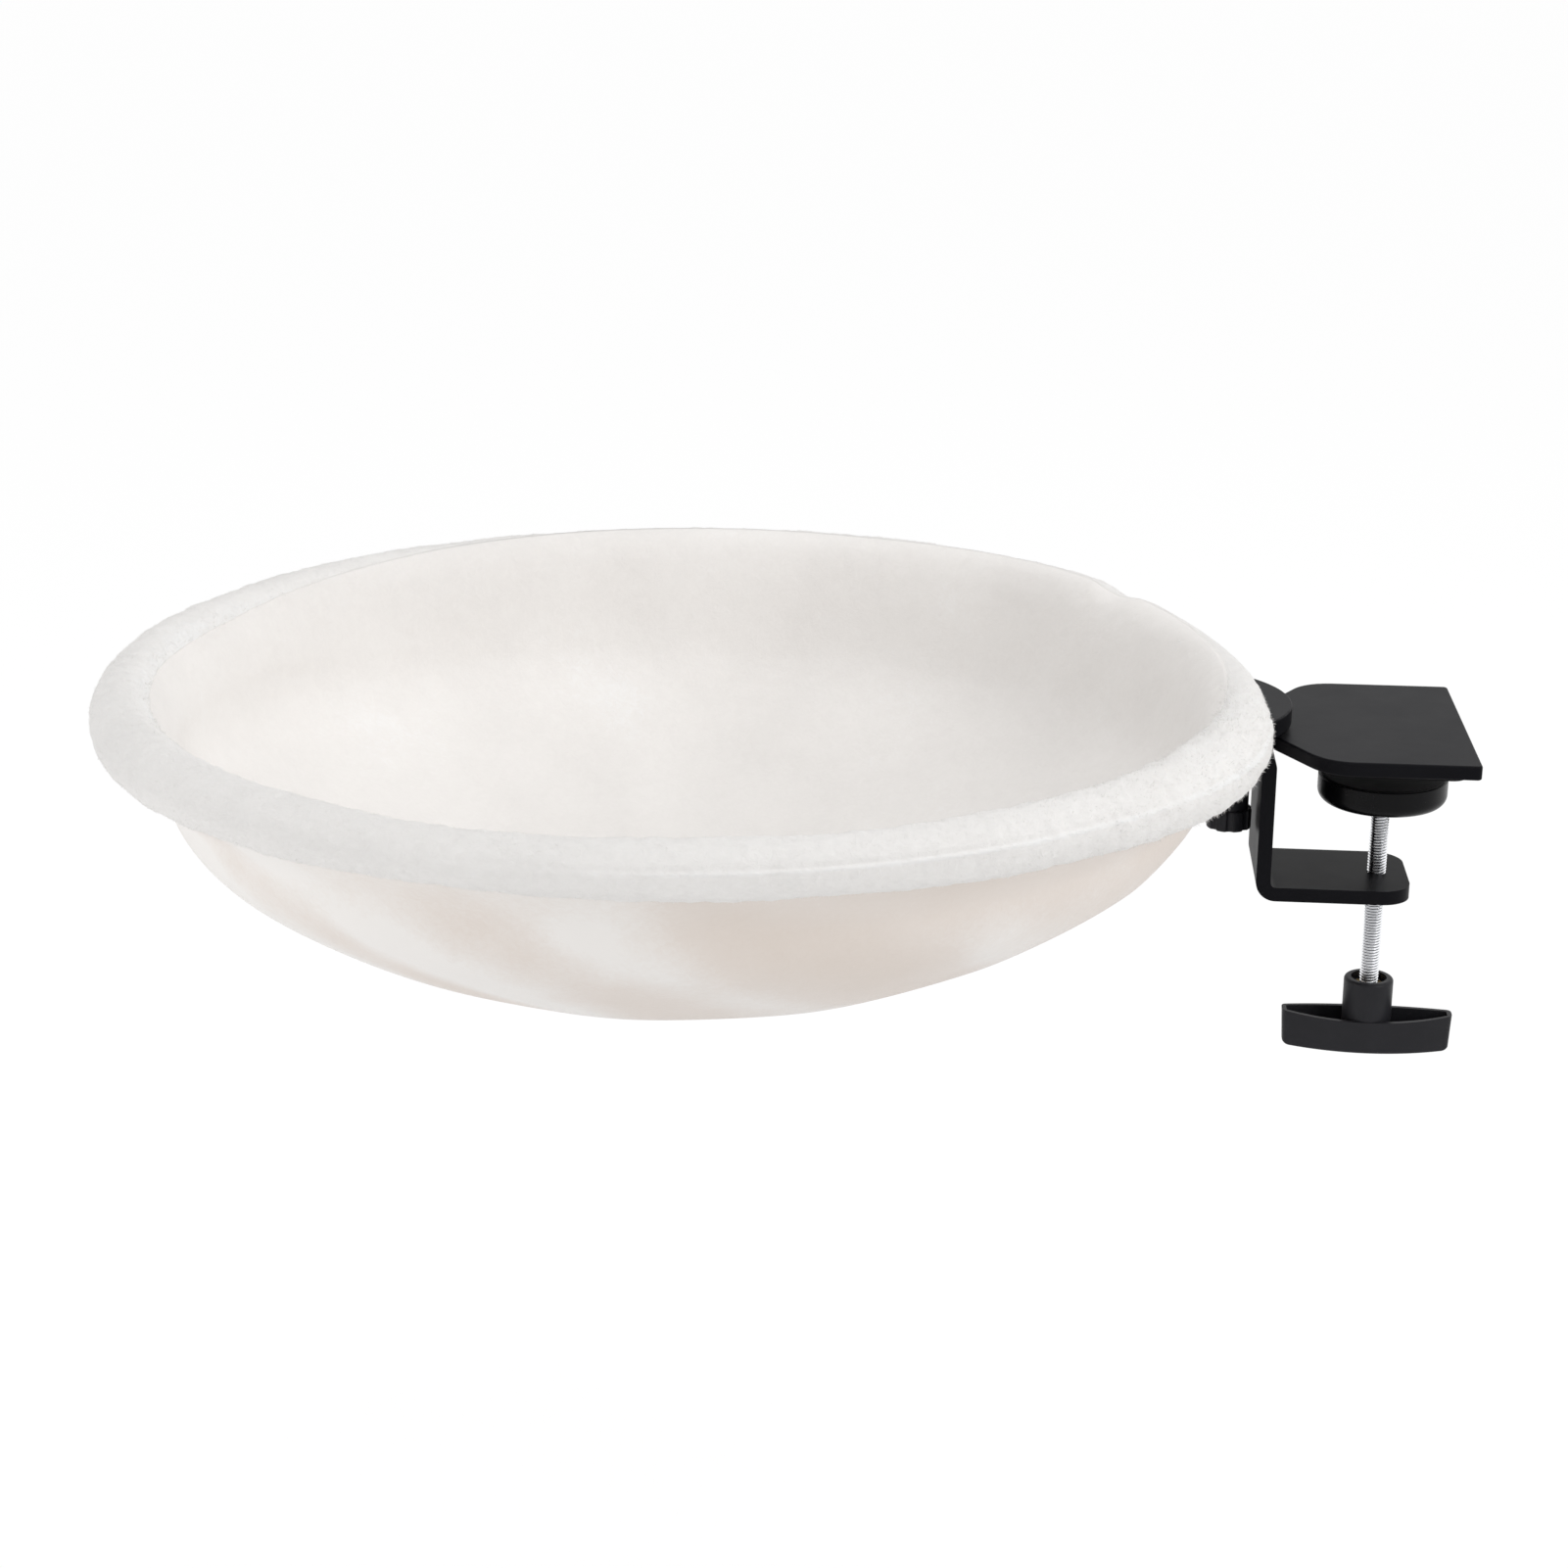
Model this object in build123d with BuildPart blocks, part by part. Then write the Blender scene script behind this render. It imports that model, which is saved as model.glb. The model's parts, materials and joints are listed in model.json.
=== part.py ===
from build123d import *
from math import cos, pi, radians, sin
import os

# Window cat hammock: a plush bowl on a steel hoop, swivelling on a screw clamp.
# The origin is the centre of the jaw liner's underside, on the clamp screw's axis.
# +X points along the clamp away from the bowl, +Z is up.

# Clearances and overruns
cut_over = 1.0
running = 0.05
slack = 0.2
edge_break = 0.8

# Top jaw plate
plate_thick = 6.0
plate_width = 118.0
plate_right = 32.0
plate_shoulder = 61.5
plate_neck = 10.5
shoulder_round = 20.0
plate_corner_round = 2.0
lobe_radius = 17.0
pivot_reach = 63.5

# Rubber liner under the jaw plate
liner_thick = 2.0
liner_length = 56.0
liner_inset = 5.0
liner_round = 6.0

# Bent bracket
bracket_thick = 6.0
bracket_width = 52.0
throat_reach = 46.5
throat_height = 58.0
flange_reach = 12.5
flange_round = 13.0
bend_inner = 2.4
bend_outer = bend_inner + bracket_thick

# Screws that hold the plate on the bracket
plate_screw_radius = 2.0
plate_screw_head_radius = 4.0
plate_screw_head_height = 2.0
plate_screw_offset = 11.5
plate_screw_socket = 1.5
plate_screw_socket_depth = 1.3
plate_screw_short = 0.5

# Clamp screw
screw_radius = 4.0
screw_tip_neck_radius = 3.0
screw_tip_button_radius = 5.0
screw_tip_button_height = 2.0
screw_chamfer = 0.8

# Pressure pad
jaw_gap = 14.4
pad_radius = 27.0
pad_height = 12.0
pad_rubber_thick = 3.0
pad_rim_wall = 1.2
pad_rim_drop = 0.6
pad_bottom_round = 5.0
pad_boss_wall = 3.0
pad_rib_count = 8
pad_rib_thick = 1.6
pad_skirt_wall = 2.4
pad_web_thick = 2.5
retainer_radius = 8.0
retainer_thick = 1.5

# T-handle
handle_top = 106.0
hub_radius = 10.5
hub_bore_depth = 3.0
hub_ring_radius = 7.6
hub_height = 15.6
hub_round = 1.5
bar_length = 72.5
bar_width = 22.0
bar_end_width = 7.0
bar_height = 16.4
bar_wall = 2.0
bar_floor = 2.5
bar_dip = 1.8
bar_draft = 3.0
bar_edge_round = 1.0
bar_end_round = 3.2
bar_corner_round = 4.0
insert_radius = 6.2
insert_height = 12.0
insert_groove_depth = 0.5
insert_groove_height = 1.4

# Pivot stack
washer_thick = 2.0
swivel_thick = 8.0
swivel_arc_radius = 52.0
swivel_nose = 22.0
swivel_half_length = 47.0
swivel_end_round = 5.0
pivot_radius = 4.0
pivot_head_radius = 8.0
pivot_head_height = 4.0
pivot_socket = 2.9
pivot_socket_depth = 2.6
bush_wall = 2.0
lock_washer_thick = 2.0
lock_washer_radius = 8.5

# Lock knob under the pivot
knob_height = 34.0
knob_neck_radius = 8.0
knob_head_radius = 9.5
knob_head_height = 9.0
knob_flute_radius = 2.2
knob_flute_count = 8
knob_flute_depth = 0.9
knob_round = 1.5
knob_floor = 2.5
bolt_end_gap = 2.5
knob_insert_radius = 6.0
knob_insert_height = 16.0
knob_insert_sink = 2.0

# Hoop
swivel_rest_angle = 15.0
hoop_radius = 224.5
pivot_offset = 7.5
tube_radius = 5.0
tube_wall = 1.2
ferrule_wall = 1.0
ferrule_length = 44.0
ferrule_screw_radius = 1.25
ferrule_screw_inset = 0.4
ferrule_screw_offset = 13.0

# Saddle between hoop and swivel plate
saddle_length = 60.0
saddle_wall = 2.0
saddle_grip = 4.0
saddle_screw_offset = 22.0
saddle_screw_radius = 2.0
saddle_screw_head_radius = 4.0
saddle_screw_head_height = 2.0
saddle_screw_socket = 1.4
saddle_screw_socket_depth = 1.2

# Rim roll
roll_radius = 13.5
sleeve_thick = 1.5
roll_rest_gap = 0.5

# Bowl
bowl_depth = 115.0
shell_thick = 1.5
lining_thick = 5.0
bowl_gap = 0.3
fold_count = 14
fold_height = 2.6
fold_twist = 34.0
bowl_radius_share = (1.0, 0.998, 0.953, 0.836, 0.669, 0.46, 0.283, 0.14)
bowl_depth_share = (0.0, 0.256, 0.427, 0.598, 0.769, 0.905, 0.973, 1.0)
fold_height_share = (0.15, 0.75, 1.0, 1.0, 0.9, 0.6, 0.35, 0.15)

# Heights through the clamp
jaw_underside = liner_thick
plate_top = jaw_underside + plate_thick
tab_bottom = jaw_underside - bracket_thick
flange_top = -throat_height
flange_bottom = flange_top - bracket_thick
pad_top = -jaw_gap
pad_bottom = pad_top - pad_height
rubber_bottom = pad_top - pad_rubber_thick
swivel_bottom = plate_top + washer_thick
swivel_top = swivel_bottom + swivel_thick
hoop_height = swivel_top + roll_rest_gap + roll_radius

# Centres of the pivot and of the hoop
pivot_x = -pivot_reach
hoop_reach = hoop_radius + pivot_offset
hoop_x = pivot_x - hoop_reach * cos(radians(swivel_rest_angle))
hoop_y = -hoop_reach * sin(radians(swivel_rest_angle))
hoop_axis = Axis((hoop_x, hoop_y, 0), (0, 0, 1))


def on_upright(corner):
    """True for a corner of the bracket's profile that lies on one of its upright's two faces."""
    return -throat_reach - bracket_thick - slack < corner.X < -throat_reach + slack


def hoop_plane(angle):
    """Upright plane through the hoop's axis: x outwards, y up, at an angle from the clamp's side."""
    turn = radians(angle + swivel_rest_angle)
    outwards = (cos(turn), sin(turn), 0)
    across = (sin(turn), -cos(turn), 0)
    return Plane(origin=(hoop_x, hoop_y, 0), x_dir=outwards, z_dir=across)


def hoop_flat(height):
    """Level plane centred on the hoop, with x towards the pivot."""
    turn = radians(swivel_rest_angle)
    return Plane(origin=(hoop_x, hoop_y, height), x_dir=(cos(turn), sin(turn), 0), z_dir=(0, 0, 1))


def hoop_angle(length):
    """Angle that a length along the hoop's tube takes up, in degrees."""
    return length / hoop_radius * 180 / pi


os.makedirs("parts", exist_ok=True)

# Top jaw plate
with BuildPart() as clamp_plate:
    with BuildSketch(Plane.XY.offset(jaw_underside)) as plate_outline:
        with BuildLine():
            Polyline(
                (plate_right, plate_width / 2),
                (plate_right - plate_shoulder, plate_width / 2),
                (pivot_x + plate_neck, lobe_radius),
                (pivot_x, lobe_radius),
                (pivot_x, -lobe_radius),
                (pivot_x + plate_neck, -lobe_radius),
                (plate_right - plate_shoulder, -plate_width / 2),
                (plate_right, -plate_width / 2),
                close=True,
            )
        make_face()
        fillet(plate_outline.vertices().sort_by(Axis.X)[-4:-2], shoulder_round)
        fillet(plate_outline.vertices().sort_by(Axis.X)[-2:], plate_corner_round)
        with Locations((pivot_x, 0)):
            Circle(lobe_radius)
    extrude(amount=plate_thick)
    fillet(clamp_plate.faces().filter_by(Axis.Z).edges(), edge_break)
    with Locations((pivot_x, 0, plate_top)):
        Hole(pivot_radius + running + bush_wall)
    with Locations((pivot_x, plate_screw_offset, plate_top), (pivot_x, -plate_screw_offset, plate_top)):
        CounterSinkHole(plate_screw_radius, plate_screw_head_radius)
clamp_plate.part.label = "clamp_plate"
export_step(clamp_plate.part, "parts/clamp_plate.step")

# Bent bracket: tab under the lobe, upright and tapped lower flange
with BuildPart() as clamp_bracket:
    with BuildSketch(Plane.XZ) as bracket_profile:
        with BuildLine():
            Polyline(
                (pivot_x - lobe_radius, jaw_underside),
                (-throat_reach, jaw_underside),
                (-throat_reach, flange_top),
                (flange_reach, flange_top),
                (flange_reach, flange_bottom),
                (-throat_reach - bracket_thick, flange_bottom),
                (-throat_reach - bracket_thick, tab_bottom),
                (pivot_x - lobe_radius, tab_bottom),
                close=True,
            )
        make_face()
        for bend_radius in (bend_outer, bend_inner):
            bends = bracket_profile.vertices().filter_by(on_upright).sort_by(Axis.Y)
            fillet([bends[0], bends[-1]], bend_radius)
    extrude(amount=bracket_width / 2, both=True)
    with BuildSketch(Plane.XY.offset(flange_bottom - cut_over)) as bracket_outline:
        with Locations((flange_reach, 0)):
            Rectangle(
                flange_reach + throat_reach + bracket_thick, bracket_width, align=(Align.MAX, Align.CENTER)
            )
        with Locations((pivot_x, 0)):
            Circle(lobe_radius)
        make_hull()
        fillet(bracket_outline.vertices().sort_by(Axis.X)[-2:], flange_round)
    extrude(amount=jaw_underside - flange_bottom + cut_over * 2, mode=Mode.INTERSECT)
    with Locations((pivot_x, 0, jaw_underside)):
        Hole(pivot_radius + running + bush_wall, depth=bracket_thick)
    with Locations((pivot_x, plate_screw_offset, jaw_underside), (pivot_x, -plate_screw_offset, jaw_underside)):
        Hole(plate_screw_radius, depth=bracket_thick)
    with Locations((0, 0, flange_top)):
        Hole(screw_radius + running, depth=bracket_thick)
clamp_bracket.part.label = "clamp_bracket"
export_step(clamp_bracket.part, "parts/clamp_bracket.step")

# Rubber liner of the top jaw
with BuildPart() as jaw_liner:
    with BuildSketch():
        with Locations((plate_right - liner_inset, 0)):
            RectangleRounded(
                liner_length, plate_width - liner_inset * 2, liner_round, align=(Align.MAX, Align.CENTER)
            )
    extrude(amount=liner_thick)
jaw_liner.part.label = "jaw_liner"
export_step(jaw_liner.part, "parts/jaw_liner.step")

# Two countersunk screws from the plate into the bracket's tab
with BuildPart() as bracket_screws:
    with Locations((pivot_x, plate_screw_offset, plate_top), (pivot_x, -plate_screw_offset, plate_top)):
        Cone(
            plate_screw_radius,
            plate_screw_head_radius,
            plate_screw_head_height,
            align=(Align.CENTER, Align.CENTER, Align.MAX),
        )
        Cylinder(
            plate_screw_radius,
            plate_thick + bracket_thick - plate_screw_short,
            align=(Align.CENTER, Align.CENTER, Align.MAX),
        )
    with BuildSketch(Plane.XY.offset(plate_top)):
        with Locations((pivot_x, plate_screw_offset), (pivot_x, -plate_screw_offset)):
            RegularPolygon(plate_screw_socket, 6)
    extrude(amount=-plate_screw_socket_depth, mode=Mode.SUBTRACT)
bracket_screws.part.label = "bracket_screws"
export_step(bracket_screws.part, "parts/bracket_screws.step")

# Plain bush through the lobe and the tab
with BuildPart() as pivot_bush:
    with BuildSketch(Plane.XY.offset(tab_bottom)):
        with Locations((pivot_x, 0)):
            Circle(pivot_radius + running + bush_wall)
            Circle(pivot_radius + running, mode=Mode.SUBTRACT)
    extrude(amount=plate_top - tab_bottom)
pivot_bush.part.label = "pivot_bush"
export_step(pivot_bush.part, "parts/pivot_bush.step")

# Moulded pad cup with a pocket for the screw's button
pocket_top = rubber_bottom - pad_web_thick
pocket_depth = pocket_top - pad_bottom - retainer_thick
with BuildPart() as pad_cup:
    with BuildSketch(Plane.XY.offset(pad_bottom)):
        Circle(pad_radius)
    extrude(amount=pad_height - pad_rim_drop)
    fillet(pad_cup.faces().sort_by(Axis.Z)[0].edges(), pad_bottom_round)
    with BuildSketch(Plane.XY.offset(rubber_bottom)):
        Circle(pad_radius - pad_rim_wall)
    extrude(amount=pad_rubber_thick, mode=Mode.SUBTRACT)
    with BuildSketch(Plane.XY.offset(pad_bottom)):
        Circle(pad_radius - pad_bottom_round - pad_skirt_wall)
        Circle(retainer_radius + pad_boss_wall, mode=Mode.SUBTRACT)
    extrude(amount=pocket_top - pad_bottom, mode=Mode.SUBTRACT)
    with BuildSketch(Plane.XY.offset(pad_bottom + pad_bottom_round)):
        with PolarLocations(0, pad_rib_count):
            Rectangle(pad_radius - pad_skirt_wall, pad_rib_thick, align=(Align.MIN, Align.CENTER))
        Circle(retainer_radius + pad_rib_thick, mode=Mode.SUBTRACT)
    extrude(amount=pocket_top - pad_bottom - pad_bottom_round)
    with BuildSketch(Plane.XY.offset(pad_bottom)):
        Circle(retainer_radius)
    extrude(amount=retainer_thick, mode=Mode.SUBTRACT)
    with BuildSketch(Plane.XY.offset(pad_bottom)):
        Circle(screw_tip_button_radius + slack)
    extrude(amount=pocket_top - pad_bottom, mode=Mode.SUBTRACT)
pad_cup.part.label = "pad_cup"
export_step(pad_cup.part, "parts/pad_cup.step")

# Rubber face of the pad
with BuildPart() as pad_rubber:
    with BuildSketch(Plane.XY.offset(rubber_bottom)):
        Circle(pad_radius - pad_rim_wall)
    extrude(amount=pad_rubber_thick)
    fillet(pad_rubber.faces().sort_by(Axis.Z)[-1].edges(), pad_rim_drop)
pad_rubber.part.label = "pad_rubber"
export_step(pad_rubber.part, "parts/pad_rubber.step")

# Washer that traps the screw's button in the pad
with BuildPart() as pad_retainer:
    with BuildSketch(Plane.XY.offset(pad_bottom)):
        Circle(retainer_radius)
        Circle(screw_tip_neck_radius + running, mode=Mode.SUBTRACT)
    extrude(amount=retainer_thick)
pad_retainer.part.label = "pad_retainer"
export_step(pad_retainer.part, "parts/pad_retainer.step")

# Clamp screw with its neck and riveted button
button_bottom = pad_bottom + retainer_thick + slack
neck_bottom = pad_bottom - slack
screw_end = -handle_top - hub_bore_depth - insert_height
with BuildPart() as clamp_screw:
    with BuildSketch(Plane.XY.offset(screw_end)):
        Circle(screw_radius)
    extrude(amount=neck_bottom - screw_end)
    chamfer(clamp_screw.faces().filter_by(Axis.Z).edges(), screw_chamfer)
    with BuildSketch(Plane.XY.offset(neck_bottom)):
        Circle(screw_tip_neck_radius)
    extrude(amount=button_bottom - neck_bottom)
    with BuildSketch(Plane.XY.offset(button_bottom)):
        Circle(screw_tip_button_radius)
    extrude(amount=screw_tip_button_height)
clamp_screw.part.label = "clamp_screw"
export_step(clamp_screw.part, "parts/clamp_screw.step")

# T-handle: hollow boat-shaped bar with a ringed hub
bar_top = -handle_top - hub_height
bar_bottom = bar_top - bar_height
bar_end_x = bar_length / 2
with BuildPart() as t_handle:
    with BuildSketch(Plane.XY.offset(bar_top)) as bar_outline:
        with BuildLine():
            ThreePointArc((-bar_end_x, bar_end_width / 2), (0, bar_width / 2), (bar_end_x, bar_end_width / 2))
            Line((bar_end_x, bar_end_width / 2), (bar_end_x, -bar_end_width / 2))
            ThreePointArc((bar_end_x, -bar_end_width / 2), (0, -bar_width / 2), (-bar_end_x, -bar_end_width / 2))
            Line((-bar_end_x, -bar_end_width / 2), (-bar_end_x, bar_end_width / 2))
        make_face()
        fillet(bar_outline.vertices(), bar_end_round)
    extrude(amount=-bar_height, taper=bar_draft)
    with BuildSketch(Plane.XZ) as bar_side:
        with Locations((0, bar_bottom)):
            Rectangle(bar_length, bar_height, align=(Align.CENTER, Align.MIN))
        fillet(bar_side.vertices().sort_by(Axis.Y)[:2], bar_corner_round)
    extrude(amount=bar_width, both=True, mode=Mode.INTERSECT)
    fillet(t_handle.faces().sort_by(Axis.Z)[0].edges().sort_by(SortBy.LENGTH)[-2:], bar_edge_round)
    with BuildSketch(Plane.XZ):
        with BuildLine():
            ThreePointArc((-bar_end_x, bar_top), (0, bar_top - bar_dip), (bar_end_x, bar_top))
            Line((bar_end_x, bar_top), (-bar_end_x, bar_top))
        make_face()
    extrude(amount=bar_width, both=True, mode=Mode.SUBTRACT)
    with BuildSketch(Plane.XY.offset(bar_top)):
        with BuildLine():
            ThreePointArc(
                (-bar_end_x + bar_wall, bar_end_width / 2 - bar_wall / 2),
                (0, bar_width / 2 - bar_wall),
                (bar_end_x - bar_wall, bar_end_width / 2 - bar_wall / 2),
            )
            Line(
                (bar_end_x - bar_wall, bar_end_width / 2 - bar_wall / 2),
                (bar_end_x - bar_wall, -bar_end_width / 2 + bar_wall / 2),
            )
            ThreePointArc(
                (bar_end_x - bar_wall, -bar_end_width / 2 + bar_wall / 2),
                (0, -bar_width / 2 + bar_wall),
                (-bar_end_x + bar_wall, -bar_end_width / 2 + bar_wall / 2),
            )
            Line(
                (-bar_end_x + bar_wall, -bar_end_width / 2 + bar_wall / 2),
                (-bar_end_x + bar_wall, bar_end_width / 2 - bar_wall / 2),
            )
        make_face()
    extrude(amount=bar_floor - bar_height, taper=bar_draft, mode=Mode.SUBTRACT)
    with BuildSketch(Plane.XY.offset(-handle_top)):
        Circle(hub_radius)
    extrude(amount=bar_bottom + bar_floor / 2 + handle_top)
    fillet(t_handle.faces().sort_by(Axis.Z)[-1].edges(), hub_round)
    with BuildSketch(Plane.XY.offset(-handle_top)):
        Circle(hub_ring_radius)
    extrude(amount=-hub_bore_depth, mode=Mode.SUBTRACT)
    with BuildSketch(Plane.XY.offset(-handle_top - hub_bore_depth)):
        Circle(insert_radius)
    extrude(amount=-insert_height, mode=Mode.SUBTRACT)
t_handle.part.label = "t_handle"
export_step(t_handle.part, "parts/t_handle.step")

# Metal insert that fixes the screw in the handle
with BuildPart() as handle_insert:
    with BuildSketch(Plane.XY.offset(screw_end)):
        Circle(insert_radius)
    extrude(amount=insert_height)
    with BuildSketch(Plane.XY.offset(screw_end + insert_height / 2)):
        Circle(insert_radius)
        Circle(insert_radius - insert_groove_depth, mode=Mode.SUBTRACT)
    extrude(amount=insert_groove_height, both=True, mode=Mode.SUBTRACT)
    with Locations((0, 0, screw_end + insert_height)):
        Hole(screw_radius)
handle_insert.part.label = "handle_insert"
export_step(handle_insert.part, "parts/handle_insert.step")

# Friction washer between the clamp and the swivel plate
with BuildPart() as friction_washer:
    with BuildSketch(Plane.XY.offset(plate_top)):
        with Locations((pivot_x, 0)):
            Circle(lobe_radius - edge_break)
            Circle(pivot_radius, mode=Mode.SUBTRACT)
    extrude(amount=washer_thick)
friction_washer.part.label = "friction_washer"
export_step(friction_washer.part, "parts/friction_washer.step")

# Swivel plate: round nose over the pivot, back edge concentric with the hoop
swivel_back = hoop_radius - roll_radius + saddle_wall + edge_break
swivel_arc_centre = hoop_reach + swivel_nose - swivel_arc_radius
with BuildPart() as swivel_plate:
    with BuildSketch(hoop_flat(swivel_bottom)) as swivel_outline:
        with Locations((swivel_arc_centre, 0)):
            Circle(swivel_arc_radius)
        with Locations((hoop_reach, 0)):
            Rectangle(swivel_arc_radius * 2, swivel_half_length * 2, mode=Mode.INTERSECT)
        Circle(swivel_back, mode=Mode.SUBTRACT)
        fillet(swivel_outline.vertices(), swivel_end_round)
    extrude(amount=swivel_thick)
    fillet(swivel_plate.faces().filter_by(Axis.Z).edges(), edge_break)
    with Locations((pivot_x, 0, swivel_top)):
        CounterSinkHole(pivot_radius, pivot_head_radius)
    for side in (-1, 1):
        turn = radians(swivel_rest_angle + side * hoop_angle(saddle_screw_offset))
        with Locations(
            Location(
                (hoop_x + hoop_radius * cos(turn), hoop_y + hoop_radius * sin(turn), swivel_bottom), (180, 0, 0)
            )
        ):
            CounterSinkHole(saddle_screw_radius, saddle_screw_head_radius, depth=swivel_thick)
swivel_plate.part.label = "swivel_plate"
export_step(swivel_plate.part, "parts/swivel_plate.step")

# Countersunk pivot bolt
knob_top = tab_bottom - lock_washer_thick
knob_bottom = knob_top - knob_height
bolt_end = knob_bottom + knob_floor + bolt_end_gap
with BuildPart() as pivot_bolt:
    with Locations((pivot_x, 0, swivel_top)):
        Cone(
            pivot_radius, pivot_head_radius, pivot_head_height, align=(Align.CENTER, Align.CENTER, Align.MAX)
        )
        Cylinder(pivot_radius, swivel_top - bolt_end, align=(Align.CENTER, Align.CENTER, Align.MAX))
    chamfer(pivot_bolt.faces().sort_by(Axis.Z)[0].edges(), screw_chamfer)
    with BuildSketch(Plane.XY.offset(swivel_top)):
        with Locations((pivot_x, 0)):
            RegularPolygon(pivot_socket, 6)
    extrude(amount=-pivot_socket_depth, mode=Mode.SUBTRACT)
pivot_bolt.part.label = "pivot_bolt"
export_step(pivot_bolt.part, "parts/pivot_bolt.step")

# Saddle that carries the hoop's tube on the swivel plate
saddle_arc = hoop_angle(saddle_length)
saddle_half_width = tube_radius + saddle_wall
saddle_top = hoop_height - tube_radius + saddle_grip
with BuildPart() as hoop_saddle:
    with BuildSketch(hoop_plane(-saddle_arc / 2)):
        with Locations((hoop_radius, swivel_top)):
            Rectangle(saddle_half_width * 2, saddle_top - swivel_top, align=(Align.CENTER, Align.MIN))
        with Locations((hoop_radius, hoop_height)):
            Circle(tube_radius, mode=Mode.SUBTRACT)
    revolve(axis=hoop_axis, revolution_arc=saddle_arc)
    for side in (-1, 1):
        turn = radians(swivel_rest_angle + side * hoop_angle(saddle_screw_offset))
        with Locations((hoop_x + hoop_radius * cos(turn), hoop_y + hoop_radius * sin(turn), saddle_top)):
            Hole(saddle_screw_radius, depth=saddle_top - swivel_top)
hoop_saddle.part.label = "hoop_saddle"
export_step(hoop_saddle.part, "parts/hoop_saddle.step")

# Two countersunk screws from below, through the saddle into the tube
tube_bottom = hoop_height - tube_radius
saddle_screw_length = tube_bottom + tube_wall - swivel_bottom
with BuildPart() as saddle_screws:
    for side in (-1, 1):
        turn = radians(swivel_rest_angle + side * hoop_angle(saddle_screw_offset))
        foot = (hoop_x + hoop_radius * cos(turn), hoop_y + hoop_radius * sin(turn), swivel_bottom)
        with Locations(foot):
            Cone(
                saddle_screw_head_radius,
                saddle_screw_radius,
                saddle_screw_head_height,
                align=(Align.CENTER, Align.CENTER, Align.MIN),
            )
            Cylinder(saddle_screw_radius, saddle_screw_length, align=(Align.CENTER, Align.CENTER, Align.MIN))
        with BuildSketch(Plane(origin=foot)):
            RegularPolygon(saddle_screw_socket, 6)
        extrude(amount=saddle_screw_socket_depth, mode=Mode.SUBTRACT)
saddle_screws.part.label = "saddle_screws"
export_step(saddle_screws.part, "parts/saddle_screws.step")

# Half hoop on the clamp's side
with BuildPart() as hoop_tube_clamp_side:
    with BuildSketch(hoop_plane(-90)):
        with Locations((hoop_radius, hoop_height)):
            Circle(tube_radius)
            Circle(tube_radius - tube_wall, mode=Mode.SUBTRACT)
    revolve(axis=hoop_axis, revolution_arc=180)
    for side in (-1, 1):
        turn = radians(swivel_rest_angle + side * hoop_angle(saddle_screw_offset))
        with Locations((hoop_x + hoop_radius * cos(turn), hoop_y + hoop_radius * sin(turn), tube_bottom)):
            Cylinder(saddle_screw_radius, tube_wall * 4, mode=Mode.SUBTRACT)
    for side in (-1, 1):
        turn = radians(swivel_rest_angle + side * (90 - hoop_angle(ferrule_screw_offset)))
        with Locations((hoop_x + hoop_radius * cos(turn), hoop_y + hoop_radius * sin(turn), tube_bottom)):
            Cylinder(ferrule_screw_radius, tube_wall * 4, mode=Mode.SUBTRACT)
hoop_tube_clamp_side.part.label = "hoop_tube_clamp_side"
export_step(hoop_tube_clamp_side.part, "parts/hoop_tube_clamp_side.step")

# Half hoop on the far side
with BuildPart() as hoop_tube_far_side:
    with BuildSketch(hoop_plane(90)):
        with Locations((hoop_radius, hoop_height)):
            Circle(tube_radius)
            Circle(tube_radius - tube_wall, mode=Mode.SUBTRACT)
    revolve(axis=hoop_axis, revolution_arc=180)
    for side in (-1, 1):
        turn = radians(swivel_rest_angle + side * (90 + hoop_angle(ferrule_screw_offset)))
        with Locations((hoop_x + hoop_radius * cos(turn), hoop_y + hoop_radius * sin(turn), tube_bottom)):
            Cylinder(ferrule_screw_radius, tube_wall * 4, mode=Mode.SUBTRACT)
hoop_tube_far_side.part.label = "hoop_tube_far_side"
export_step(hoop_tube_far_side.part, "parts/hoop_tube_far_side.step")

# Two ferrules inside the tube, across the joints of the halves
ferrule_arc = hoop_angle(ferrule_length)
ferrule_radius = tube_radius - tube_wall - running
with BuildPart() as hoop_ferrules:
    for side in (-1, 1):
        with BuildSketch(hoop_plane(side * 90 - ferrule_arc / 2)):
            with Locations((hoop_radius, hoop_height)):
                Circle(ferrule_radius)
                Circle(ferrule_radius - ferrule_wall, mode=Mode.SUBTRACT)
        revolve(axis=hoop_axis, revolution_arc=ferrule_arc)
        for end in (-1, 1):
            turn = radians(swivel_rest_angle + side * 90 + end * hoop_angle(ferrule_screw_offset))
            with Locations(
                (hoop_x + hoop_radius * cos(turn), hoop_y + hoop_radius * sin(turn), tube_bottom + tube_wall)
            ):
                Cylinder(ferrule_screw_radius, ferrule_wall * 4, mode=Mode.SUBTRACT)
hoop_ferrules.part.label = "hoop_ferrules"
export_step(hoop_ferrules.part, "parts/hoop_ferrules.step")

# Four grub screws that fix the ferrules
with BuildPart() as ferrule_screws:
    for side in (-1, 1):
        for end in (-1, 1):
            turn = radians(swivel_rest_angle + side * 90 + end * hoop_angle(ferrule_screw_offset))
            with Locations(
                (
                    hoop_x + hoop_radius * cos(turn),
                    hoop_y + hoop_radius * sin(turn),
                    tube_bottom + ferrule_screw_inset,
                )
            ):
                Cylinder(
                    ferrule_screw_radius,
                    tube_wall + ferrule_wall - ferrule_screw_inset,
                    align=(Align.CENTER, Align.CENTER, Align.MIN),
                )
ferrule_screws.part.label = "ferrule_screws"
export_step(ferrule_screws.part, "parts/ferrule_screws.step")

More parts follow.
